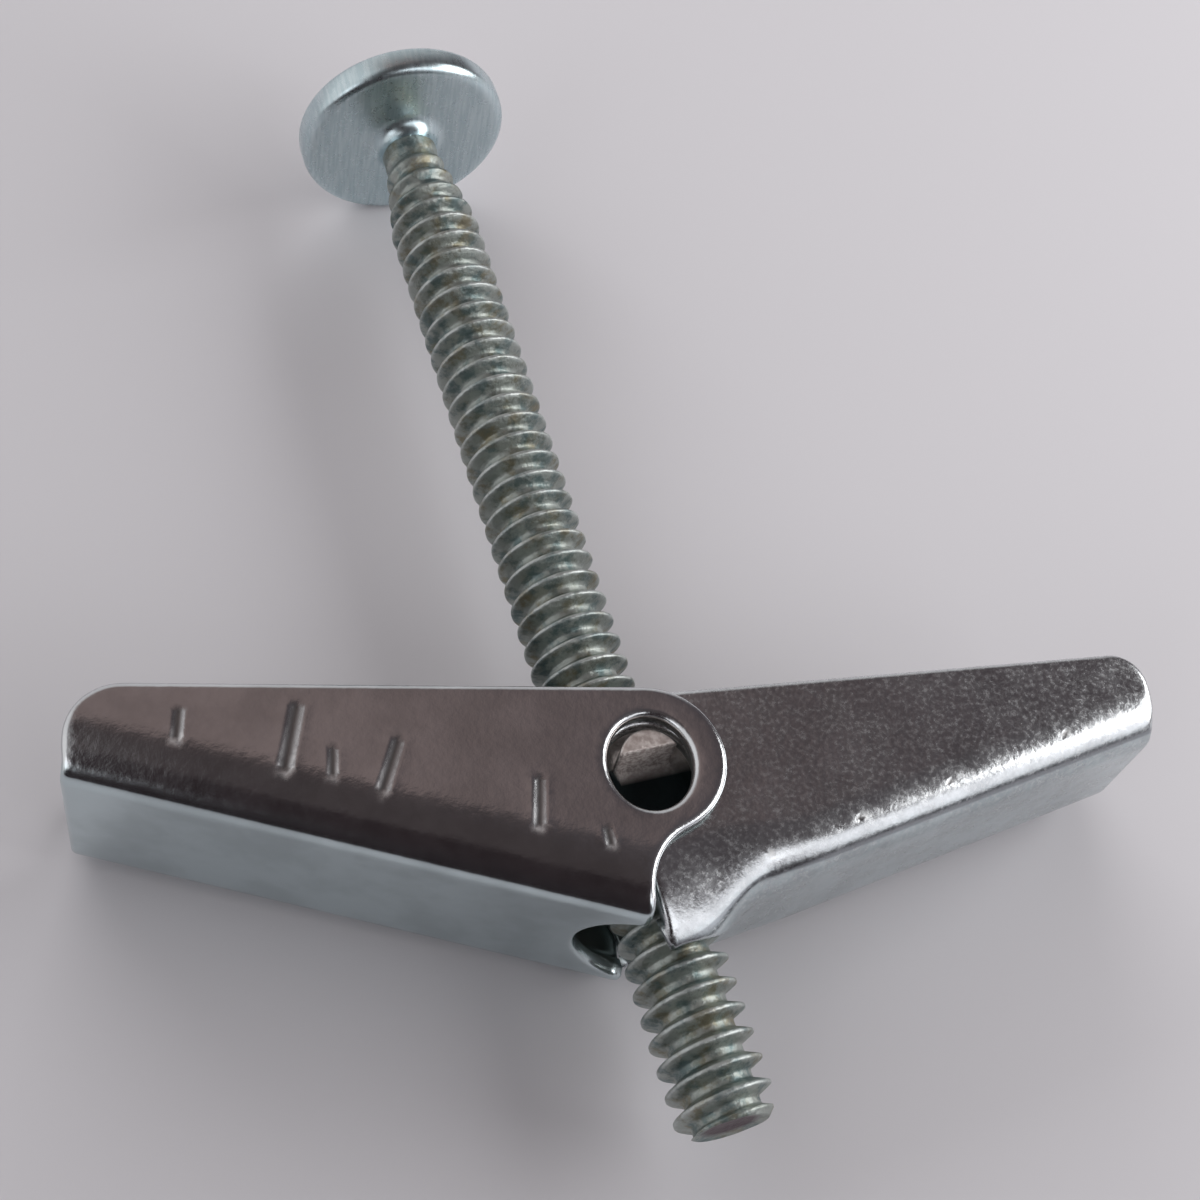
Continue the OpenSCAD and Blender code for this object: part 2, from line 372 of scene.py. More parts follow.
def plate(loops, thickness, top_rounds, low_round, lattice):
    """A plate with rounded edges: points of (u, v, height), faces, and a mark that is 1 on an edge.

    The first loop is the outline and the others are holes. top_rounds gives the width and depth of
    the top edge's rounding for each loop, and low_round that of every lower edge.
    """
    loops = [l if (area(l) > 0) == (k == 0) else l[::-1] for k, l in enumerate(loops)]
    loops = [settle(l, r[0]) for l, r in zip(loops, top_rounds)]
    insets = [l - outward(l) * r[0] for l, r in zip(loops, top_rounds)]
    core = lattice[inside(lattice, insets)]
    core = core[clearance(core, insets) > CORE_ROOM]
    flat = np.vstack(insets + [core])
    edges, first = [], 0
    for loop in insets:
        edges += [(first + k, first + (k + 1) % len(loop)) for k in range(len(loop))]
        first += len(loop)
    made = delaunay_2d_cdt([Vector(p) for p in flat], edges, [], 0, 1e-6)
    source = [ids[0] if ids else -1 for ids in made[3]]
    if -1 in source or len(source) != len(flat):
        raise ValueError("the plate's outline crosses itself")
    triangles = np.array([[source[i] for i in f] for f in made[2]])
    middles = flat[triangles].mean(axis=1)
    spread = np.cross(flat[triangles[:, 1]] - flat[triangles[:, 0]],
                      flat[triangles[:, 2]] - flat[triangles[:, 0]])
    triangles[spread < 0] = triangles[spread < 0][:, ::-1]
    triangles = triangles[inside(middles, insets) & (np.abs(spread) > SLIVER)]
    half, count = thickness / 2, len(flat)
    points = [np.c_[flat, np.full(count, half)], np.c_[flat, np.full(count, -half)]]
    faces = triangles.tolist() + (triangles[:, ::-1] + count).tolist()
    near = [np.zeros(2 * count)]
    total, first = 2 * count, 0
    low_bevel = 0.3 * low_round
    for loop, inset, (width, depth) in zip(loops, insets, top_rounds):
        way, size = outward(loop), len(loop)
        rows = [list(range(first, first + size))]
        shapes = [(width * math.sin(a), half - depth * (1 - math.cos(a)), 1.0)
                  for a in EDGE_TURNS]
        shapes += [(width, -half + low_round, 1.0),
                   (width - low_bevel, -half + low_bevel, 1.0),
                   (width - low_round, -half, 0.6)]
        for out, height, mark in shapes:
            points.append(np.c_[inset + way * out, np.full(size, height)])
            near.append(np.full(size, mark))
            rows.append(list(range(total, total + size)))
            total += size
        rows.append([i + count for i in rows[0]])
        for upper, lower in zip(rows, rows[1:]):
            for k in range(size):
                n = (k + 1) % size
                faces.append((upper[k], lower[k], lower[n], upper[n]))
        first += size
    return np.vstack(points), faces, np.concatenate(near)


def lattice_of(low_u, high_u, step, rows):
    """Lattice points on rows of v, every second row set half a step along."""
    points = []
    for k, v in enumerate(rows):
        u = np.arange(low_u + (k % 2) * step / 2, high_u, step)
        points.append(np.c_[u, np.full(len(u), v)])
    return np.vstack(points)


# ---------------------------------------------------------------- the wings

BEND_ROWS = 9
BEND_POINTS = 7
WEB_STEP = 0.22
FLANGE_STEP = 0.2
ROW_ROOM = 0.05
BEYOND = 4
POINT_ROOM = 0.03
INNER_SHADE_BAND = 0.06
DENT_STEP = 0.07
# Rows of points across a dent, in its own half-widths
DENT_ROWS = np.arange(-2, 2.01, 0.4)
# A dent's lip and the glint beside it, a painted highlight, in its half-widths from its middle, and
# their size
LIP_AT = 1.7
LIP_WIDTH = 0.5
LIP_SHARE = 0.3
GLINT_AT = 1.25
GLINT_WIDTH = 0.45
UNDERSIDE_SHARE = 0.4


def smooth(value, low, high):
    """Nought below low, one above high and smooth in between."""
    share = np.clip((value - low) / (high - low), 0, 1)
    return share * share * (3 - 2 * share)


class Channel:
    """How a wing's flat sheet folds up: u runs along its web and v across it, flange to flange."""

    def __init__(self, wing):
        self.wing = wing
        self.mid = (wing["low"] + wing["high"]) / 2
        self.half = (wing["high"] - wing["low"]) / 2 - SHEET / 2
        self.bend = BEND_R - SHEET / 2
        self.flat = self.half - self.bend
        self.fold = self.flat + self.bend * math.pi / 2

    def angle(self, v):
        """How far the sheet has turned from the web towards a flange."""
        return np.clip((np.abs(v) - self.flat) / self.bend, 0, math.pi / 2)

    def reach(self, v):
        """Distance of the sheet's middle from the web's outer face."""
        return BEND_R - self.bend * np.cos(self.angle(v)) + np.maximum(np.abs(v) - self.fold, 0)

    def at(self, u, v, height):
        """The point in the wing's own frame; height goes outwards from the sheet's middle."""
        v = np.asarray(v, float)
        angle, side = self.angle(v), np.sign(v)
        height = height - self.ease(u, v)
        reach = self.reach(v) - height * np.cos(angle) - WEB_REACH
        rise = np.minimum(np.abs(v), self.flat) + (self.bend + height) * np.sin(angle)
        x = u * math.cos(TAPER) - reach * math.sin(TAPER)
        y = u * math.sin(TAPER) + reach * math.cos(TAPER)
        return np.c_[x, y, self.mid + side * rise]

    def ease(self, u, v):
        """How far the pressed bend lies inside the round one: it is part of an ellipse."""
        angle = self.angle(v)
        near = 1 - smooth(u, EASE_FROM, EASE_TO)
        along, down = (far + near * (end - far) for far, end in self.wing["ease"])
        flat_part = np.maximum(np.abs(v) - self.fold, 0)
        web_part = np.maximum(self.flat - np.abs(v), 0)
        a = np.maximum(1 - (BEND_R * (1 - np.cos(angle)) + flat_part) / along, 0)
        d = np.maximum(1 - (BEND_R * (1 - np.sin(angle)) + web_part) / down, 0)
        across, over = np.cos(angle) / along, np.sin(angle) / down
        slope, size = a * across + d * over, across ** 2 + over ** 2
        return (slope - np.sqrt(np.maximum(slope ** 2 - size * (a * a + d * d - 1), 0))) / size

    def upright(self, x, v):
        """Points of the flat sheet that fold to lie at x."""
        v = np.asarray(v, float)
        u = (x + (self.reach(v) - WEB_REACH) * math.sin(TAPER)) / math.cos(TAPER)
        return np.c_[u, v]

    def flange(self, xy, side):
        """Points of the flat sheet that fold to x, y on the upper or the lower flange."""
        x, y = xy[:, 0], xy[:, 1]
        out = -x * math.sin(TAPER) + y * math.cos(TAPER) + WEB_REACH - BEND_R
        return np.c_[x * math.cos(TAPER) + y * math.sin(TAPER), side * (self.fold + out)]

    def across(self, z):
        """v of a height z on the web or its bends."""
        rise = z - self.mid
        past = np.maximum(np.abs(rise) - self.flat, 0)
        arc_part = self.bend * np.arcsin(np.minimum(past / self.bend, 1))
        return np.sign(rise) * (np.minimum(np.abs(rise), self.flat) + arc_part)

    def loops(self):
        """The flat sheet's outline and its ears' holes, of which the upper one is a little oval."""
        wing = self.wing
        end, tip_r, ear_up = wing["end"], wing["tip_r"], FREE_EDGE - EAR_R
        neck_x = end - NECK_FILLET
        neck_y = ear_up - math.sqrt((EAR_R + NECK_FILLET) ** 2 - neck_x ** 2)
        turn = math.degrees(math.atan2(neck_y - ear_up, neck_x)) % 360

        def fold_y(x):
            """Where a flange leaves its bend."""
            return (BEND_R - WEB_REACH + x * math.sin(TAPER)) / math.cos(TAPER)

        def half(side):
            """One flange's outline, with its share of the web's two ends."""
            edge = np.vstack([
                line((WING_L, fold_y(WING_L)), (WING_L, FREE_EDGE - tip_r)),
                arc((WING_L - tip_r, FREE_EDGE - tip_r), tip_r, 0, 90),
                line((WING_L - tip_r, FREE_EDGE), (0, FREE_EDGE)),
                arc((0, ear_up), EAR_R, 90, turn),
                arc((neck_x, neck_y), NECK_FILLET, turn - 180, 0),
                line((end, neck_y), (end, min(neck_y, fold_y(end)))),
            ])
            rise = NOTCH_UP + side * math.sqrt(NOTCH_R ** 2 - (end + wing["back"]) ** 2)
            last = abs(float(self.across(np.array([rise]))[0]))
            down = np.linspace(self.fold, self.flat, BEND_POINTS)[:-1]
            down = down[down > last + 0.1]
            if last <= self.flat:
                down = np.r_[down, line((self.flat, 0), (last, 0))[:, 0]]
            tip_v = np.r_[line((0, 0), (self.flat, 0))[:, 0],
                          np.linspace(self.flat, self.fold, BEND_POINTS)[:-1]]
            return np.vstack([self.upright(WING_L, side * tip_v), self.flange(edge, side),
                              self.upright(end, side * down)])

        spread = math.degrees(math.acos((end + wing["back"]) / NOTCH_R))
        notch = arc((-wing["back"], NOTCH_UP), NOTCH_R, spread, -spread)
        notch = np.vstack([notch, notch[0] * (1, -1) + (0, 2 * NOTCH_UP)])
        notch = self.upright(notch[:, 0], self.across(notch[:, 1]))
        outline = np.vstack([half(1), notch, half(-1)[1:][::-1]])
        low_hole = arc((0, 0), HOLE_R, 0, 360, 0.14)
        x, y, across, along = wing["hole"]
        high_hole = arc((0, 0), 1, 0, 360, 0.09) * (across, along) + (x, y)
        return [outline, self.flange(high_hole, 1), self.flange(low_hole, -1)]


def sheet_lattice(channel, dents):
    """Points of the flat sheet to build it from, closer together in its bends and its dents."""
    top = channel.fold + WEB_REACH + BEYOND
    rows = np.r_[np.arange(channel.fold, top, FLANGE_STEP)[1:],
                 np.linspace(channel.flat, channel.fold, BEND_ROWS),
                 np.arange(0, channel.flat - ROW_ROOM, WEB_STEP)]
    rows = np.unique(np.round(np.r_[rows, -rows], 6))
    lattice = lattice_of(-BEYOND, WING_L + BEYOND, WEB_STEP, rows)
    for x0, y0, x1, y1, width, _ in dents:
        spots = line((x0, y0), (x1, y1), DENT_STEP)
        side = np.array([y0 - y1, x1 - x0]) / math.hypot(x1 - x0, y1 - y0)
        for off in DENT_ROWS * width:
            lattice = np.vstack([lattice, channel.flange(spots + side * off, 1)])
    order = np.lexsort((np.round(lattice[:, 0], 2), np.round(lattice[:, 1], 2)))
    lattice = lattice[order]
    keep = np.r_[True, np.linalg.norm(np.diff(lattice, axis=0), axis=1) > POINT_ROOM]
    return lattice[keep]


def hump(value, middle, width):
    """One at the middle, falling smoothly to nought on both sides."""
    return np.exp(-((value - middle) / width) ** 2)


def wing_sheet(wing, dents):
    """A wing's points, faces and marks. Each dent runs from x0, y0 to x1, y1 on the upper flange."""
    channel = Channel(wing)
    points, faces, near = plate(channel.loops(), SHEET, EDGE_ROUNDS, EDGE_WITHIN,
                                sheet_lattice(channel, dents))
    height = points[:, 2]
    placed = channel.at(points[:, 0], points[:, 1], height)
    upper = points[:, 1] > channel.fold
    hurt, painted_glint = np.zeros(len(placed)), np.zeros(len(placed))
    for x0, y0, x1, y1, width, depth in dents:
        start, way = np.array([x0, y0]), np.array([x1 - x0, y1 - y0])
        share = np.clip(((placed[:, :2] - start) @ way) / (way @ way), 0, 1)
        away = np.linalg.norm(placed[:, :2] - start - share[:, None] * way, axis=1) / width
        groove = hump(away, 0, 1) * upper
        raised = hump(away, LIP_AT, LIP_WIDTH) * upper
        side = np.where(height > 0, 1.0, UNDERSIDE_SHARE)
        placed[:, 2] += side * (LIP_SHARE * depth * raised - depth * groove)
        hurt = np.maximum(hurt, groove)
        # Painted highlight: a glint beside the dent, brighter towards its end, is marked to be drawn
        # pale
        painted_glint = np.maximum(painted_glint, hump(away, GLINT_AT, GLINT_WIDTH) * upper * share ** 2)
    bend = np.degrees(channel.angle(points[:, 1])) * np.where(points[:, 1] > 0, 1, -1)
    # Painted shade: the sheet's inner face, inside the channel, is marked to be drawn darker
    inner_face_shade = (height < -SHEET / 2 + INNER_SHADE_BAND).astype(float)
    return placed, faces, {"near_edge": near, "hurt": hurt, "painted_glint": painted_glint, "bend": bend,
                           "inner_face_shade": inner_face_shade}


def press_toe(placed):
    """Stands the inner wing's end out from its web and rolls it down, by its upper bend."""
    out = np.array([math.sin(TAPER), -math.cos(TAPER)])
    depth = placed[:, :2] @ out
    # Both shapes come in from nought to whole towards the pivot, up along it and out from the web
    by_pivot, high = smooth(placed[:, 0], 3.4, 0.2), smooth(placed[:, 2], 0.0, 2.3)
    share = by_pivot * high * smooth(depth, 2.9, 4.5)
    placed[:, :2] += TOE_OUT * share[:, None] * out
    placed[:, 0] += TOE_ALONG * share
    by_pivot, high = smooth(placed[:, 0], 3.0, 0.6), smooth(placed[:, 2], 0.6, 2.6)
    placed[:, 2] -= TOE_DOWN * (by_pivot * smooth(depth, 3.1, 5.1) * high)


def make_wing(name, wing, dents, material):
    """One wing, from its bent and dented sheet."""
    placed, faces, marks = wing_sheet(wing, dents)
    if wing is INNER:
        press_toe(placed)
    sheet = piece(name + "_sheet", placed, faces, frame_of(wing), name, [name],
                  material, marks)
    # Large faces lead the shading, so that the narrow ones by the edges don't chop it
    sheet.modifiers.new("even_shading", "WEIGHTED_NORMAL")


# ---------------------------------------------------------------- the bolt

TURN_STEPS = 80
# Where the rows of points lie in one pitch of the thread, from the middle of a crest
THREAD_ROWS = (-0.085, -0.05, 0.05, 0.085, 0.17, 0.26, 0.34, 0.42, 0.58, 0.66, 0.74, 0.83)
THREAD_END = HEAD_REACH - FILLET_R
FILLET_POINTS = 9
RIM_POINTS = 8
CROWN_POINTS = 22
CROWN_SHARE = 0.975
FACE_RINGS = (1.9, 2.4, 2.9, 3.3)
SAWN_R = 0.8
SAWN_DEPTH = 0.15
CRISP_TURN = math.radians(35)
WELD_DIGITS = 5
WELD_SHIFT = 1.3e-6


def thread_radius(y, turn):
    """Radius of the right-handed thread at a height along the bolt and a turn in radians."""
    phase = (y / PITCH - turn / TURN) % 1.0
    off = np.minimum(phase, 1 - phase) * PITCH
    flank = (PITCH - CREST_FLAT - ROOT_FLAT) / 2
    down = np.clip((off - CREST_FLAT / 2) / flank, 0, 1)
    up = 1 - down ** FLANK_CURVE
    fade = np.clip((y - HEAD_REACH + FADE_L) / (FADE_L - NECK_L), 0, 1)
    crest = BOLT_R + (NECK_R - BOLT_R) * fade
    root = ROOT_R + (NECK_R - ROOT_UNDER_NECK - ROOT_R) * fade
    neck_low = HEAD_REACH - NECK_L
    plain = smooth(y, neck_low - NECK_EASE, neck_low + NECK_EASE)
    radius = root + (crest - root) * up
    radius = radius + (NECK_R - radius) * plain
    bevel = BOLT_R - TIP_BEVEL + TIP_LAND + (y + TIP_REACH) * TIP_SLOPE
    return np.minimum(radius, bevel)


def weld(points, faces):
    """Joins points that lie together and drops faces that have shrunk to a line."""
    kept, index = {}, []
    # The shift takes values off the ties of rounding, where two points of one place could part
    for p in np.round(points + WELD_SHIFT, WELD_DIGITS).tolist():
        index.append(kept.setdefault(tuple(p), len(kept)))
    seen, out = set(), []
    for face in faces:
        loop = []
        for i in face:
            if not loop or loop[-1] != index[i]:
                loop.append(index[i])
        if loop[0] == loop[-1]:
            loop.pop()
        if len(loop) > 2 and len(set(loop)) == len(loop) and frozenset(loop) not in seen:
            seen.add(frozenset(loop))
            out.append(tuple(loop))
    return np.array(list(kept)), out


def ring_points(radius, y, turns):
    """Points round the bolt's middle line at the given turns; y may climb with them."""
    return np.c_[radius * np.sin(turns), np.full(len(turns), y) if np.isscalar(y) else y,
                 radius * np.cos(turns)]


def thread_mesh():
    """The shank's surface: rows of points that climb one pitch a turn, so each keeps its depth."""
    turns = np.linspace(0, TURN, TURN_STEPS + 1)
    low, high = -TIP_REACH, THREAD_END
    first = math.floor(low / PITCH) - 1
    count = math.ceil((high - low) / PITCH) + 2
    points, faces = [], []
    rows = [(first + k + offset) * PITCH for k in range(count) for offset in THREAD_ROWS]
    for y0 in rows:
        y = np.clip(y0 + turns / TURN * PITCH, low, high)
        points.append(ring_points(thread_radius(y, turns), y, turns))
    wide = TURN_STEPS + 1
    for r in range(len(rows) - 1):
        for j in range(TURN_STEPS):
            a = r * wide + j
            faces.append((a, a + 1, a + 1 + wide, a + wide))
    return weld(np.vstack(points), faces)


def stack(rings):
    """A surface through rings of points that climb along the bolt."""
    faces = []
    for k in range(len(rings) - 1):
        for j in range(TURN_STEPS):
            n = (j + 1) % TURN_STEPS
            a, b = k * TURN_STEPS, (k + 1) * TURN_STEPS
            faces.append((a + j, a + n, b + n, b + j))
    return weld(np.vstack(rings), faces)


def lathe(profile):
    """A surface turned about the bolt from points of radius and height; no radius makes a tip."""
    turns = np.linspace(0, TURN, TURN_STEPS, endpoint=False)
    return stack([ring_points(r, y, turns) for r, y in profile])


def cuboid(low, high):
    """The corners and faces of a block, for cutting with."""
    (x0, y0, z0), (x1, y1, z1) = low, high
    corners = [(x, y, z) for x in (x0, x1) for y in (y0, y1) for z in (z0, z1)]
    faces = [(0, 1, 3, 2), (4, 6, 7, 5), (0, 4, 5, 1), (2, 3, 7, 6), (0, 2, 6, 4), (1, 5, 7, 3)]
    return np.array(corners), faces


def combine(base, others, operation):
    """The union or the difference of closed meshes, each given as points and faces."""
    made = []
    for points, faces in [base] + others:
        mesh = bpy.data.meshes.new("blank")
        mesh.from_pydata(points.tolist(), [], [tuple(f) for f in faces])
        mesh.validate()
        block = bpy.data.objects.new("blank", mesh)
        bpy.context.scene.collection.objects.link(block)
        made.append(block)
    for other in made[1:]:
        change = made[0].modifiers.new("cut", "BOOLEAN")
        change.operation, change.object, change.solver = operation, other, "EXACT"
    graph = bpy.context.evaluated_depsgraph_get()
    mesh = bpy.data.meshes.new_from_object(made[0].evaluated_get(graph))
    points = np.array([v.co for v in mesh.vertices])
    faces = [tuple(p.vertices) for p in mesh.polygons]
    for block in made:
        bpy.data.objects.remove(block)
    return points, faces


def head_mesh():
    """The head past the thread's end: fillet, bearing face, rim, and crown with driver recess."""
    band_low = HEAD_REACH + RIM_R
    band_high = band_low + RIM_BAND
    crown = HEAD_REACH + HEAD_H
    dome_h = crown - band_high
    dome_r = (HEAD_R ** 2 + dome_h ** 2) / (2 * dome_h)
    profile = [(0, THREAD_END)]
    profile += [(NECK_R + FILLET_R * (1 - math.cos(a)), THREAD_END + FILLET_R * math.sin(a))
                for a in np.radians(np.linspace(0, 90, FILLET_POINTS))]
    profile += [(r, HEAD_REACH) for r in FACE_RINGS]
    profile += [(HEAD_R - RIM_R + RIM_R * math.sin(a), band_low - RIM_R * math.cos(a))
                for a in np.radians(np.linspace(0, 90, RIM_POINTS))]
    profile += [(HEAD_R, band_high - CROWN_EDGE), (HEAD_R - 0.025, band_high - 0.02)]
    spread = math.asin(HEAD_R / dome_r)
    profile += [(dome_r * math.sin(a), crown - dome_r + dome_r * math.cos(a))
                for a in np.linspace(spread * CROWN_SHARE, 0, CROWN_POINTS)]
    slot = cuboid((-HEAD_R - 1, crown - SLOT_DEPTH, -SLOT_W / 2),
                  (HEAD_R + 1, crown + 1, SLOT_W / 2))
    cross = cuboid((-SLOT_W / 2, crown - CROSS_DEPTH, -CROSS_REACH),
                   (SLOT_W / 2, crown + 1, CROSS_REACH))
    points, faces = combine(lathe(profile), [slot, cross], "DIFFERENCE")
    # The face that closed the fillet's end for the cut is left out: the thread goes on there
    return points, [f for f in faces if any(points[i][1] > THREAD_END + SLIVER for i in f)]


def tip_mesh():
    """The bolt's free end: a sawn face, a little hollow."""
    turns = np.linspace(0, TURN, TURN_STEPS, endpoint=False)
    edge = thread_radius(np.full(TURN_STEPS, -TIP_REACH), turns)
    rings = [ring_points(edge, -TIP_REACH, turns)]
    for share, hollow in TIP_HOLLOW:
        rings.append(ring_points(edge * share, -TIP_REACH + hollow, turns))
    points, faces = stack(rings)
    # The rings climb inwards here, so the faces are turned to look out of the bolt's end
    return points, [f[::-1] for f in faces]


def join(parts):
    """One mesh of several, welded where they meet."""
    points, faces, first = [], [], 0
    for p, f in parts:
        points.append(p)
        faces += [tuple(i + first for i in face) for face in f]
        first += len(p)
    return weld(np.vstack(points), faces)


def make_bolt(material):
    """The screw, with marks for its crests, its thread and its sawn end."""
    points, faces = join([thread_mesh(), head_mesh(), tip_mesh()])
    radius = np.hypot(points[:, 0], points[:, 2])
    thread = points[:, 1] < THREAD_END
    crest = np.where(thread, np.clip((radius - ROOT_R) / (BOLT_R - ROOT_R), 0, 1), 0.0)
    sawn = (points[:, 1] < -TIP_REACH + SAWN_DEPTH) & (radius < SAWN_R)
    bolt = piece("threaded_bolt", points, faces, TOGGLE, "screw", ["bolt"], material,
                 {"crest": crest, "thread": thread.astype(float), "sawn": sawn.astype(float)})
    # Only the edges of the driver's recess are crisp
    bolt.data.set_sharp_from_angle(angle=CRISP_TURN)
    ends = np.empty(2 * len(bolt.data.edges), np.int32)
    bolt.data.edges.foreach_get("vertices", ends)
    sharp = np.empty(len(bolt.data.edges), bool)
    crisp = bolt.data.attributes["sharp_edge"]
    crisp.data.foreach_get("value", sharp)
    crown = points[ends.reshape(-1, 2), 1].min(axis=1) > HEAD_REACH + RIM_BAND + 0.1
    crisp.data.foreach_set("value", sharp & crown)


# ---------------------------------------------------------------- the nut

CORNER_STEP = 0.4
BLOCK_STEP = 0.6
LUG_STEP = 0.1
LOWER_STEP = 0.2
TORN_DEPTH = 0.03
# How far the painted shade in the pocket reaches past the lug's radius, and where it begins on the
# outer wing's side
POCKET_SHADE_REACH = 0.6
POCKET_SHADE_SIDE = -0.7


def block_of(outline, low, high, rounding, step):
    """A closed upright block over an outline, with rounded edges."""
    spread = np.ptp(outline, axis=0).max()
    rows = np.arange(-spread, spread, step)
    lattice = lattice_of(-spread, spread, step, rows)
    points, faces, _ = plate([outline], high - low, [(rounding, rounding)], rounding, lattice)
    points = points + np.array([0, 0, (low + high) / 2])
    return points, faces


def make_nut(material):
    """The nut's block and its two lugs, half discs that are flat towards the bolt's free end."""
    x, y, b = NUT_W / 2, NUT_L / 2, NUT_BEVEL
    corners = [(x, y - b), (x - b, y), (b - x, y), (-x, y - b),
               (-x, b - y), (b - x, -y), (x - b, -y), (x, b - y)]
    sides = zip(corners, corners[1:] + corners[:1])
    outline = np.vstack([line(p, q, CORNER_STEP) for p, q in sides])
    block = block_of(outline, -NUT_Z, NUT_Z, NUT_EDGE, BLOCK_STEP)
    lugs = []
    for radius in (LUG_TOP_R, LUG_R):
        start = math.degrees(math.asin(LUG_FLAT / radius))
        width = radius * math.cos(math.radians(start))
        lugs.append(np.vstack([arc((0, 0), radius, start, 180 - start, LUG_STEP),
                               line((-width, LUG_FLAT), (width, LUG_FLAT), LUG_STEP)]))
    # The upper lug is worn narrower on the side of the outer wing
    upper = block_of(lugs[0] * (LUG_TOP_SHARE, 1) + (LUG_TOP_X, 0), NUT_Z - LUG_SINK, LUG_TOP,
                     LUG_EDGE, LUG_STEP)
    lower = block_of(lugs[1], LUG_LOW, LUG_SINK - NUT_Z, LUG_EDGE, LOWER_STEP)
    # The torn face of the upper lug, towards the bolt's free end
    rough = random.Random(5)
    torn = (upper[0][:, 1] < LUG_FLAT + 0.05) & (upper[0][:, 2] > NUT_Z)
    upper[0][torn, 1] += np.array([rough.uniform(0, TORN_DEPTH) for _ in range(int(torn.sum()))])
    wide, in_from_end = BORE_R + BORE_BEVEL, y - BORE_BEVEL
    bore = lathe([(0, -y - 1), (wide, -y - 1), (wide, -y), (BORE_R, -in_from_end),
                  (BORE_R, in_from_end), (wide, y), (wide, y + 1), (0, y + 1)])
    points, faces = combine(combine(block, [upper, lower], "UNION"), [bore], "DIFFERENCE")
    # Painted shade on the block, in the pocket before the upper lug's flat face and on the outer
    # wing's side of it
    by_lug = np.hypot(points[:, 0], points[:, 1]) < LUG_R + POCKET_SHADE_REACH
    on_top = (points[:, 2] < NUT_Z + 0.05) & (points[:, 2] > NUT_Z - LUG_SINK)
    beside = (points[:, 1] < LUG_FLAT - 0.1) | (points[:, 0] < POCKET_SHADE_SIDE)
    cut = (np.abs(points[:, 1] - LUG_FLAT) < 0.06) & (points[:, 2] > NUT_Z - 0.01)
    piece("nut_body", points, faces, TOGGLE, "nut", ["trunnion_nut"], material,
          {"pocket_shade": (by_lug & on_top & beside).astype(float), "cut": cut.astype(float)})


# ---------------------------------------------------------------- the spring

def wire(path, radius, sides=14):
    """A closed round wire along a path of points."""
    path = np.asarray(path, float)
    along = np.gradient(path, axis=0)
    along /= np.linalg.norm(along, axis=1)[:, None]
    up = np.array([0, 0, 1.0])
    across = np.cross(along, up)
    across /= np.linalg.norm(across, axis=1)[:, None]
    over = np.cross(across, along)
    turns = np.linspace(0, TURN, sides, endpoint=False)
    scale = np.ones(len(path))
    scale[0] = scale[-1] = WIRE_END
    points = [p + radius * s * (np.outer(np.cos(turns), a) + np.outer(np.sin(turns), o))
              for p, s, a, o in zip(path, scale, across, over)]
    points = np.vstack(points + [path[:1], path[-1:]])
    faces = []
    for k in range(len(path) - 1):
        for j in range(sides):
            n = (j + 1) % sides
            a, b = k * sides, (k + 1) * sides
            faces.append((a + n, a + j, b + j, b + n))
    last = (len(path) - 1) * sides
    for j in range(sides):
        n = (j + 1) % sides
        faces.append((j, n, len(points) - 2))
        faces.append((last + n, last + j, len(points) - 1))
    return points, faces


def make_spring(material):
    """Two halves of one wound wire: each leg rides its own wing, and both share the coil."""
    start = 270 - OUTER["rest"]
    end = 630 + INNER["rest"]
    for body, low, high, leg_angle in (
            ("outer_wing", start, start + HALF_TURN, 180 - OUTER["rest"]),
            ("inner_wing", end - HALF_TURN, end, INNER["rest"])):
        outer = body == "outer_wing"
        turns = np.radians(np.arange(low, high + 0.1, 5))
        rise = COIL_LOW + (COIL_HIGH - COIL_LOW) * (np.degrees(turns) - start) / (end - start)
        coil = np.c_[COIL_R * np.cos(turns), COIL_R * np.sin(turns), rise]
        # The inner leg slopes down a little, clear of its wing's eased bend
        slope = 0 if outer else -LEG_SLOPE
        turned = math.radians(leg_angle)
        way = np.array([math.cos(turned), math.sin(turned), slope])
        foot = coil[0] if outer else coil[-1]
        leg = [foot + way * s for s in np.arange(LEG_STEP / 2, LEG_L, LEG_STEP)]
        leg.append(foot + way * LEG_L)
        path = leg[::-1] + list(coil) if outer else list(coil) + leg
        points, faces = wire(path, WIRE_R if outer else WIRE_R - WIRE_PLAY)
        name = "spring_outer_leg" if outer else "spring_inner_leg"
        nodes = ["spring"] if outer else []
        piece(name, points, faces, TOGGLE, body, nodes, material)


# ---------------------------------------------------------------- finishes

# The wings' zinc, where it's whole, worn, dirty or dented, and its painted light: shade in the bend
# and inside the channel, and a glint beside each dent
WEB_OUTER = (0.60, 0.69, 0.71)
FLANGE_OUTER = (0.65, 0.665, 0.68)
WEB_INNER = (0.54, 0.615, 0.63)
FLANGE_INNER = (0.64, 0.66, 0.675)
PATCH_GREY = (0.42, 0.43, 0.44)
SPECK_LIGHT = (0.80, 0.82, 0.83)
# Painted shade for the dark line along the bend
BEND_SHADE_GREY = (0.24, 0.25, 0.27)
EDGE_LIGHT = (0.78, 0.80, 0.81)
DENT_DARK = (0.17, 0.16, 0.155)
# Painted highlight beside the dents
PAINTED_GLINT_LIGHT = (0.93, 0.94, 0.94)
# Painted shade for the inside of the channel
INNER_FACE_SHADE = (0.20, 0.24, 0.235)
# The bolt's thread, its sawn end and its head
ROOT_GREEN = (0.18, 0.235, 0.235)
ROOT_BROWN = (0.28, 0.26, 0.19)
GRIME_GREY = (0.40, 0.43, 0.405)
CREST_LIGHT = (0.60, 0.63, 0.62)
SAWN_DARK = (0.13, 0.10, 0.11)
HEAD_BLUE = (0.50, 0.605, 0.635)
HEAD_LIGHT = (0.60, 0.695, 0.72)
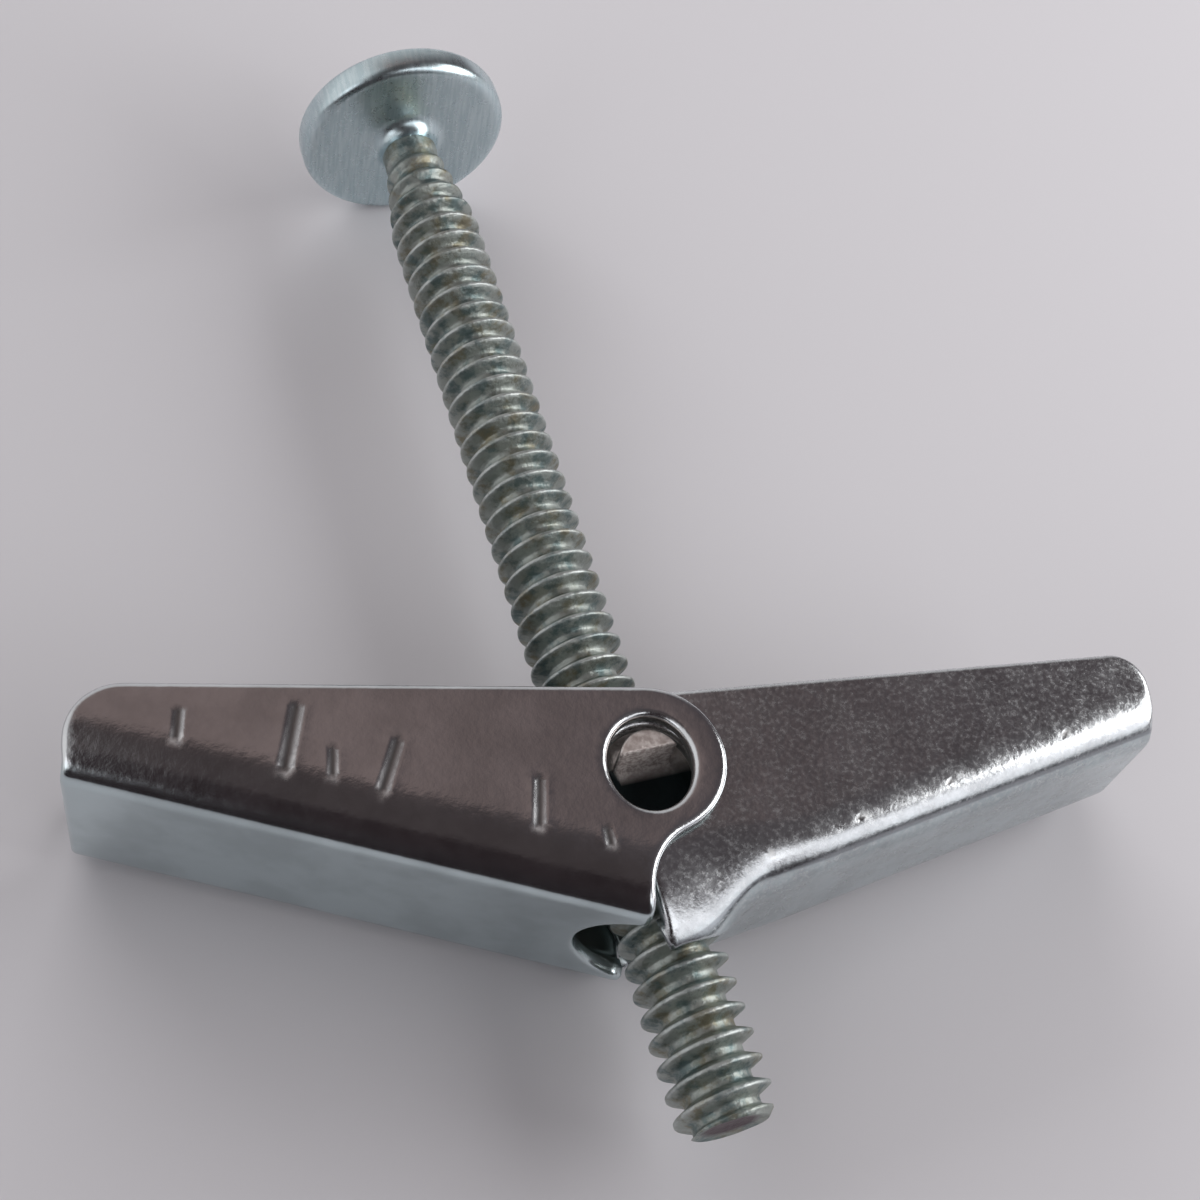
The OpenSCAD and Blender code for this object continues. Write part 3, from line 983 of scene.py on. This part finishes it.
# The nut, its torn lug and the painted shade beside it, and the spring's wire
NUT_DULL = (0.68, 0.60, 0.56)
NUT_LIGHT = (0.88, 0.81, 0.77)
TORN_DARK = (0.40, 0.33, 0.31)
TORN_LIGHT = (0.66, 0.60, 0.57)
POCKET_SHADE_BLACK = (0.018, 0.026, 0.028)
WIRE_GREY = (0.40, 0.41, 0.42)


def darker(colour, share):
    """A share of a colour's light."""
    return tuple(c * share for c in colour)


def wing_finish(name, web_tint, flange_tint, speckled, bend_shade):
    """Bright zinc on rolled sheet: soft blotches, fine grain and dark dents, with painted glints
    beside the dents and painted shade on the inside.

    speckled is how strong its specks and patches are, and the last argument how strong
    the painted shade line in its bend is.
    """
    zinc = Finish(name)
    where = zinc.place()
    blotch = zinc.noise(where, 0.5, 4.0, 0.55)
    grain = zinc.noise(where, 3.2, 4.0, 0.6)
    speck = zinc.ramp(zinc.noise(where, 6.5, 4.0, 0.65), 0.40, 0.72) * speckled
    patch = zinc.ramp(zinc.noise(where, 1.3, 3.0, 0.6), 0.40, 0.62) * speckled
    edge = zinc.mark("near_edge")
    hurt = zinc.mark("hurt")
    painted_glint = zinc.mark("painted_glint")
    bend = zinc.mark("bend")
    inner_face_shade = zinc.mark("inner_face_shade")
    turned = zinc.ramp(bend, 10.0, 60.0)
    # Painted shade: a dark line along the bend, standing in for a dark reflection there
    painted_bend_shade = zinc.ramp(bend, 8.0, 16.0) * (1.0 - zinc.ramp(bend, 26.0, 36.0)) * bend_shade
    cloud = zinc.ramp(blotch, 0.35, 0.65)
    on_web, on_flange = (zinc.mix(cloud, darker(tint, 0.84), tint)
                         for tint in (web_tint, flange_tint))
    shade = zinc.mix(turned, on_web, on_flange)
    shade = zinc.mix(patch * 0.35, shade, PATCH_GREY)
    shade = zinc.mix(speck * 0.45, shade, SPECK_LIGHT)
    shade = zinc.mix(painted_bend_shade, shade, BEND_SHADE_GREY)
    shade = zinc.mix(edge * 0.15, shade, EDGE_LIGHT)
    shade = zinc.mix(hurt * 0.85, shade, DENT_DARK)
    # Painted highlight: the glint beside each dent
    shade = zinc.mix(painted_glint * zinc.ramp(grain, 0.36, 0.56), shade, PAINTED_GLINT_LIGHT)
    # Painted shade on the inner faces of the channel
    shade = zinc.mix(inner_face_shade * 0.9, shade, INNER_FACE_SHADE)
    roughness = 0.115 + grain * 0.09 + speck * 0.11 + patch * 0.05 + edge * 0.05
    roughness = roughness + (hurt + painted_glint) * 0.2 + inner_face_shade * 0.2
    height = grain * (0.3 + turned * 0.5) + blotch * 0.8
    return zinc.metal(shade, roughness, height, 0.012)


def bolt_finish():
    """Zinc, green and brown in the thread's roots, bright on its crests and brushed on the head."""
    zinc = Finish("bolt_zinc_finish")
    where = zinc.place()
    crest = zinc.mark("crest")
    thread = zinc.mark("thread")
    grain = zinc.noise(where, 4.0, 4.0, 0.6)
    stain = zinc.ramp(zinc.noise(where, 0.9, 3.0, 0.6), 0.42, 0.62)
    grime = zinc.ramp(zinc.noise(where, 1.7, 4.0, 0.65), 0.36, 0.60)
    streak = zinc.noise(zinc.stretch(where, (9.0, 1.0, 0.7)), 1.0, 3.0, 0.6)
    worn = zinc.ramp(crest + grain * 0.5, 1.02, 1.34)
    root = zinc.mix(stain, ROOT_GREEN, ROOT_BROWN)
    root = zinc.mix(grime, root, GRIME_GREY)
    shade = zinc.mix(worn * (0.35 + grime * 0.45), root, CREST_LIGHT)
    shade = zinc.mix(zinc.mark("sawn"), shade, SAWN_DARK)
    face = zinc.mix(zinc.ramp(streak, 0.36, 0.64), HEAD_BLUE, HEAD_LIGHT)
    shade = zinc.mix(thread, face, shade)
    roughness = 0.19 + thread * 0.2 + grain * 0.2
    height = grain * (0.4 + thread * 3.6) + streak * (1.0 - thread) * 0.15
    return zinc.metal(shade, roughness, height, 0.012)


def nut_finish():
    """Dull zinc, torn on the upper lug's flat face, with painted shade in the pocket beside it."""
    zinc = Finish("nut_finish")
    where = zinc.place()
    grain = zinc.noise(where, 5.0, 4.0, 0.6)
    shade = zinc.mix(zinc.ramp(grain, 0.35, 0.65), NUT_DULL, NUT_LIGHT)
    cut = zinc.mark("cut")
    crumbs = zinc.ramp(zinc.noise(where, 9.0, 3.0, 0.6), 0.40, 0.60)
    shade = zinc.mix(cut, shade, zinc.mix(crumbs, TORN_DARK, TORN_LIGHT))
    # Painted shade in the pocket by the upper lug
    shade = zinc.mix(zinc.mark("pocket_shade"), shade, POCKET_SHADE_BLACK)
    return zinc.metal(shade, 0.33 + grain * 0.25, grain, 0.03, bare=1.0 - cut * 0.8)


def wire_finish():
    """Drawn spring wire, a little cloudy."""
    wire_metal = Finish("spring_finish")
    grain = wire_metal.noise(wire_metal.place(), 6.0, 4.0, 0.6)
    shade = wire_metal.mix(wire_metal.ramp(grain, 0.35, 0.65), darker(WIRE_GREY, 0.75), WIRE_GREY)
    return wire_metal.metal(shade, 0.25 + grain * 0.15, grain, 0.005)


# Each dent's start and end on the wing, its half-width and its depth
OUTER_DENTS = [
    (13.81, 1.55, 13.87, 0.69, 0.13, 0.035),
    (10.43, 1.71, 10.77, -0.24, 0.17, 0.050),
    (9.39, 0.33, 9.40, -0.46, 0.12, 0.030),
    (7.50, 0.59, 7.97, -0.93, 0.15, 0.040),
    (3.35, -0.62, 3.44, -2.04, 0.14, 0.040),
    (1.44, -2.20, 1.35, -2.67, 0.12, 0.030),
]
INNER_DENTS = [
    (3.22, -3.17, 3.34, -3.12, 0.10, 0.025),
    (6.29, -2.23, 6.42, -2.18, 0.09, 0.025),
    (9.45, -1.39, 9.58, -1.33, 0.08, 0.020),
    (13.70, -0.12, 13.83, -0.08, 0.08, 0.020),
]
# The last number is how strong the painted shade line in each wing's bend is
outer_finish = wing_finish("outer_wing_finish", WEB_OUTER, FLANGE_OUTER, 0.0, 0.0)
inner_finish = wing_finish("inner_wing_finish", WEB_INNER, FLANGE_INNER, 1.0, 0.7)
make_wing("outer_wing", OUTER, OUTER_DENTS, outer_finish)
make_wing("inner_wing", INNER, INNER_DENTS, inner_finish)
make_bolt(bolt_finish())
make_nut(nut_finish())
make_spring(wire_finish())


# ---------------------------------------------------------------- floor, light and camera

FLOOR_REACH = 1.2
PAPER = (0.64, 0.625, 0.65)
# The room that the metal reflects
ROOM_DARK = (0.026, 0.018, 0.020)
ROOM_OVERHEAD = (0.065, 0.052, 0.053)
ROOM_RIGHT = (0.09, 0.078, 0.084)
FAR_LEFT = (0.235, 0.18, 0.172)
FAR_RIGHT = (0.075, 0.062, 0.068)
ROOM_SEEN = (0.60, 0.59, 0.61)
# Its bright places: their way, how near that way they begin and are whole, and their light
BRIGHT_PLACES = [
    ((0.05, 0.97, 0.15), (0.68, 0.90), (0.65, 0.64, 0.65)),
    ((-0.85, 0.25, 0.42), (0.58, 0.88), (0.85, 0.84, 0.85)),
    ((0.56, -0.74, 0.38), (0.955, 0.98), (1.3, 1.3, 1.35)),
    ((0.24, -0.72, 0.65), (0.975, 0.990), (1.7, 1.7, 1.75)),
    ((-0.74, -0.45, 0.50), (0.965, 0.985), (1.5, 1.5, 1.55)),
]
# The camera's place and aim in millimetres, and its lens
CAMERA_PLACE = (-17.39, -20.49, 57.24)
CAMERA_AIM = (1.449, 7.504, 0)
CAMERA_ROLL = math.radians(-19.216)
SENSOR = 36.0
LENS = 59.7


def make_floor():
    """A wide sheet of pale paper."""
    ends = (-FLOOR_REACH, FLOOR_REACH)
    mesh = bpy.data.meshes.new("paper")
    mesh.from_pydata([(x, y, 0) for y in ends for x in ends], [], [(0, 1, 3, 2)])
    paper = Finish("paper_finish")
    mesh.materials.append(paper.surface(
        {"Base Color": (*PAPER, 1), "Roughness": 0.75, "Specular IOR Level": 0.2}))
    floor = bpy.data.objects.new("paper", mesh)
    bpy.context.scene.collection.objects.link(floor)


def make_world():
    """A dim room, paler on the left where the bolt's head points, with a few bright places."""
    world = bpy.data.worlds.new("room")
    bpy.context.scene.world = world
    world.use_nodes = True
    room = Nodes(world.node_tree)
    way = room.add("ShaderNodeTexCoord")

    def facing(x, y, z):
        """How near a way is to the given one: 1 along it and 0 across it."""
        length = math.sqrt(x * x + y * y + z * z)
        return room.add("ShaderNodeVectorMath", {"operation": "DOT_PRODUCT"},
                        [way, (x / length, y / length, z / length)], output=1)

    overhead = room.ramp(facing(0, 0, 1), 0.90, 0.95)
    shade = room.mix(overhead, ROOM_DARK, ROOM_OVERHEAD)
    shade = room.mix(room.ramp(facing(1, 0, 0), 0.0, 0.35), shade, ROOM_RIGHT)
    far_side = room.mix(room.ramp(facing(1, 0, 0), 0.05, 0.5), FAR_LEFT, FAR_RIGHT)
    shade = room.mix(room.ramp(facing(0, 1, 0), 0.17, 0.27), shade, far_side)
    for toward, (begins, whole), light in BRIGHT_PLACES:
        shade = room.mix(room.ramp(facing(*toward), begins, whole), shade, light)
    seen = room.add("ShaderNodeLightPath")
    shade = room.mix(seen, shade, ROOM_SEEN)
    glow = room.add("ShaderNodeBackground", None, {"Color": shade, "Strength": 1.0})
    room.add("ShaderNodeOutputWorld", None, {"Surface": glow})


def soft_box(name, place, aim, size, radiance, mirrored=True):
    """A lamp at a place in millimetres, facing a point. Its face has the given brightness.

    mirrored says whether shiny metal reflects it.
    """
    lamp = bpy.data.lights.new(name, "AREA")
    lamp.shape, lamp.size, lamp.size_y = "RECTANGLE", size[0] * MM, size[1] * MM
    lamp.energy = radiance * math.pi * lamp.size * lamp.size_y
    made = bpy.data.objects.new(name, lamp)
    start = Vector(place) * MM
    made.location = start
    made.rotation_mode = "QUATERNION"
    made.rotation_quaternion = (Vector(aim) * MM - start).to_track_quat("-Z", "Y")
    made.visible_camera = False
    made.visible_glossy = mirrored
    bpy.context.scene.collection.objects.link(made)


def make_camera():
    """Looks down on the pivot from the left of the bolt's free end."""
    lens = bpy.data.cameras.new("camera")
    lens.sensor_width, lens.lens = SENSOR, LENS
    lens.clip_start, lens.clip_end = 0.001, 10
    camera = bpy.data.objects.new("camera", lens)
    bpy.context.scene.collection.objects.link(camera)
    place, aim = Vector(CAMERA_PLACE), Vector(CAMERA_AIM)
    ahead = (aim - place).normalized()
    level = Vector((0, 0, 1)) - ahead * ahead.z
    level.normalize()
    right = ahead.cross(level)
    up = level * math.cos(CAMERA_ROLL) + right * math.sin(CAMERA_ROLL)
    right = ahead.cross(up)
    turn = Matrix((right, up, -ahead)).transposed().to_4x4()
    camera.matrix_world = TOGGLE @ Matrix.Translation(place * MM) @ turn
    bpy.context.scene.camera = camera


make_floor()
make_world()
soft_box("window", (125, -28, 78), (0, 0, 0), (140, 80), 4.3)
soft_box("back_window", (-10, 150, 85), (0, 0, 0), (170, 80), 2.9, mirrored=False)
make_camera()
bpy.context.scene.view_settings.view_transform = "Standard"
